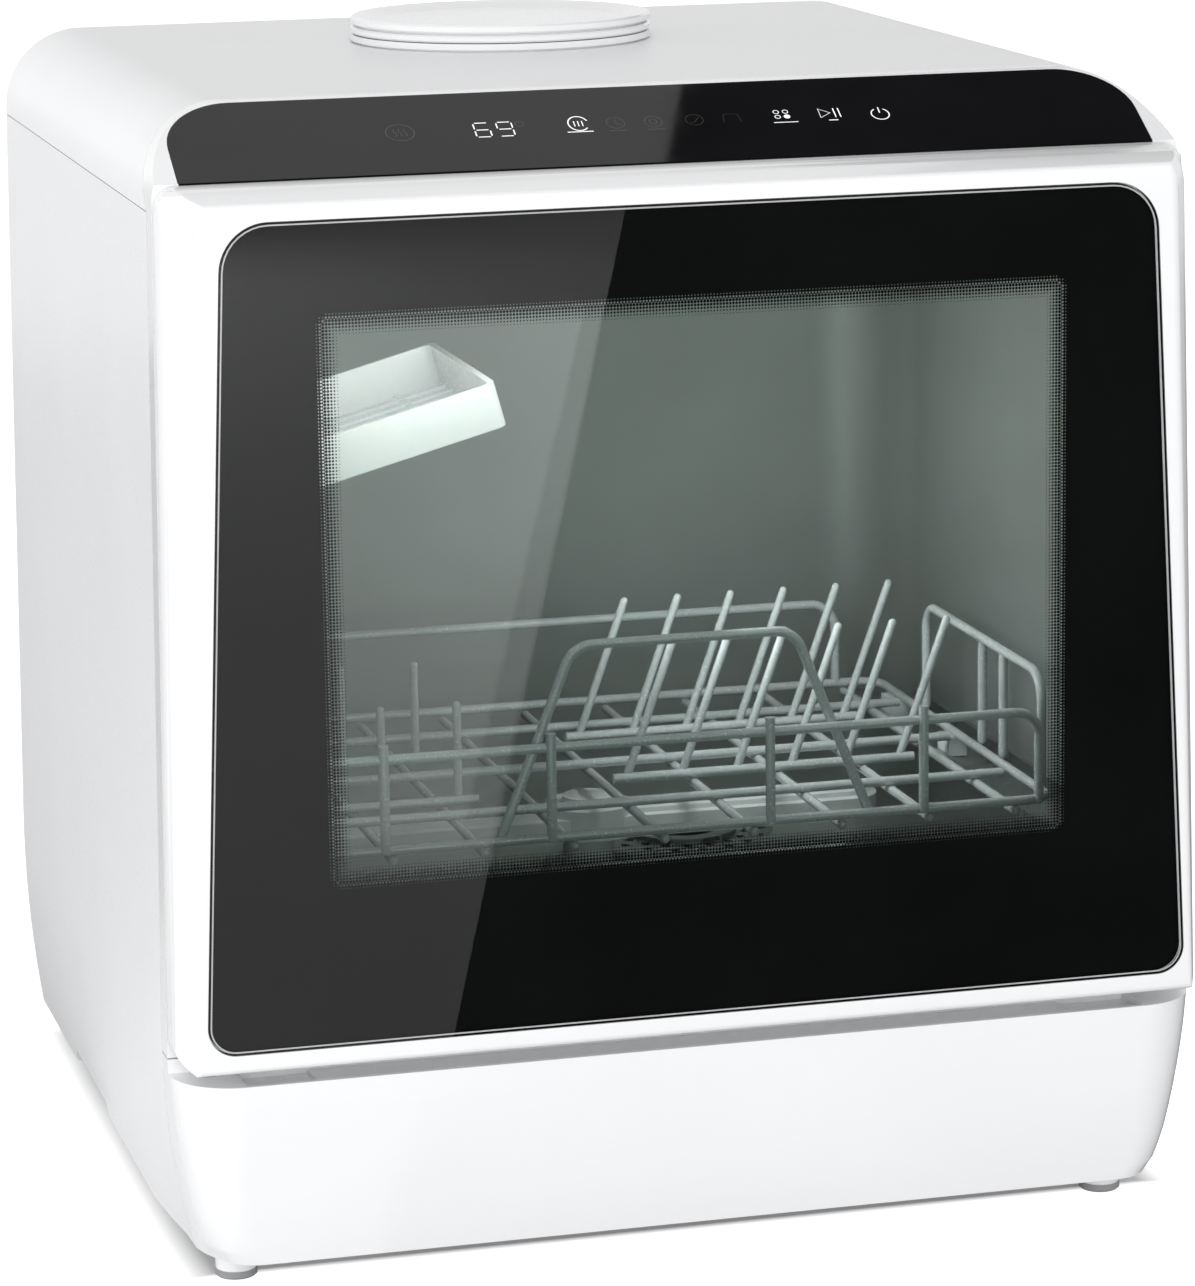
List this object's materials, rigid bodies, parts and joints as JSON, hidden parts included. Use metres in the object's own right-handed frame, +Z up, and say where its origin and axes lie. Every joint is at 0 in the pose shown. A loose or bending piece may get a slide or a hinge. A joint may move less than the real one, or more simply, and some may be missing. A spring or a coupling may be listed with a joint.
{
  "type": "countertop dishwasher",
  "caption": "Compact white countertop dishwasher with a black glass drop-down door, sloped touch panel, sliding wire rack, fold-up cup shelf and lift-off tank lid.",
  "frame": {"origin": "middle of the footprint, on the surface the machine stands on", "axes": "+X to the right seen from the front, -Y out of the door, +Z up"},
  "size_m": [0.42, 0.411, 0.4741],
  "materials": {
    "white_shell": "smooth gloss",
    "white_sheet": "smooth satin enamel",
    "grey_moulding": "fine grain",
    "dark_moulding": "fine grain",
    "black_glass": "black, clear in the middle",
    "control_glass": "mirror gloss black",
    "clear_glass": "clear",
    "tub_steel": "brushed",
    "steel_parts": "satin",
    "wire_coat": "coated wire",
    "seal_rubber": "matte",
    "foot_rubber": "matte",
    "board_green": "circuit board",
    "shelf_plastic": "translucent grey"
  },
  "bodies": {
    "cabinet": {"side_panel_left": "white_sheet", "side_panel_right": "white_sheet", "top_cover": "white_sheet", "front_frame": "white_shell", "kick_panel": "white_shell", "sill_strip": "grey_moulding", "base_tray": "grey_moulding", "back_panel": "white_sheet", "foot_front_left": "foot_rubber", "foot_front_right": "foot_rubber", "foot_rear_left": "foot_rubber", "foot_rear_right": "foot_rubber", "control_glass": "control_glass", "display_board": "board_green", "control_board": "board_green", "tub": "tub_steel", "tub_gasket": "seal_rubber", "sump": "grey_moulding", "filter_cup": "steel_parts", "filter_plate": "steel_parts", "wash_pump": "dark_moulding", "drain_pump": "dark_moulding", "feed_pipe": "grey_moulding", "spray_hub": "grey_moulding", "water_tank": "grey_moulding", "filler_collar": "white_shell", "fan_housing": "dark_moulding", "heater_box": "steel_parts", "rack_rail_left": "steel_parts", "rack_rail_right": "steel_parts", "shelf_bracket": "steel_parts", "latch_block": "grey_moulding", "hinge_bracket_left": "steel_parts", "hinge_bracket_right": "steel_parts", "water_inlet": "grey_moulding", "drain_spigot": "grey_moulding", "cord_gland": "dark_moulding"},
    "door": {"door_frame": "white_shell", "door_glass": "black_glass", "door_inner_panel": "tub_steel", "window_glass": "clear_glass", "window_seal": "seal_rubber", "door_latch": "steel_parts", "detergent_cup": "grey_moulding"},
    "detergent_lid": {"detergent_cover": "grey_moulding"},
    "rack": {"rack_frame": "wire_coat", "rack_sides": "wire_coat", "rack_floor": "wire_coat", "plate_tines": "wire_coat", "rack_handle": "wire_coat", "rack_shoes": "grey_moulding"},
    "sprayer": {"spray_arm": "grey_moulding"},
    "shelf": {"cup_shelf": "shelf_plastic"},
    "lid": {"filler_lid": "white_shell"},
    "impeller": {"fan_impeller": "grey_moulding"}
  },
  "joints": [
    {"name": "door_hinge", "type": "hinge", "parent": "cabinet", "child": "door", "pos_m": [0, -0.1955, 0.102], "axis": [1, 0, 0], "range_deg": [0, 90]},
    {"name": "rack_slide", "type": "slide", "parent": "cabinet", "child": "rack", "axis": [0, -1, 0], "range_m": [0, 0.12]},
    {"name": "detergent_slide", "type": "slide", "parent": "door", "child": "detergent_lid", "axis": [1, 0, 0], "range_m": [0, 0.034]},
    {"name": "shelf_fold", "type": "hinge", "parent": "cabinet", "child": "shelf", "pos_m": [-0.174, -0.0675, 0.3], "axis": [0, -1, 0], "range_deg": [0, 30]},
    {"name": "spray_spin", "type": "hinge", "parent": "cabinet", "child": "sprayer", "pos_m": [0, -0.0205, 0.14], "axis": [0, 0, 1], "continuous": true},
    {"name": "lid_lift", "type": "slide", "parent": "cabinet", "child": "lid", "axis": [0, 0, 1], "range_m": [0, 0.06]},
    {"name": "fan_spin", "type": "hinge", "parent": "cabinet", "child": "impeller", "pos_m": [0.176, 0.1625, 0.33], "axis": [1, 0, 0], "continuous": true}
  ],
  "couplings": [
    {"joint": "rack_slide", "follows": "door_hinge", "m_per_rad": 0.076}
  ]
}
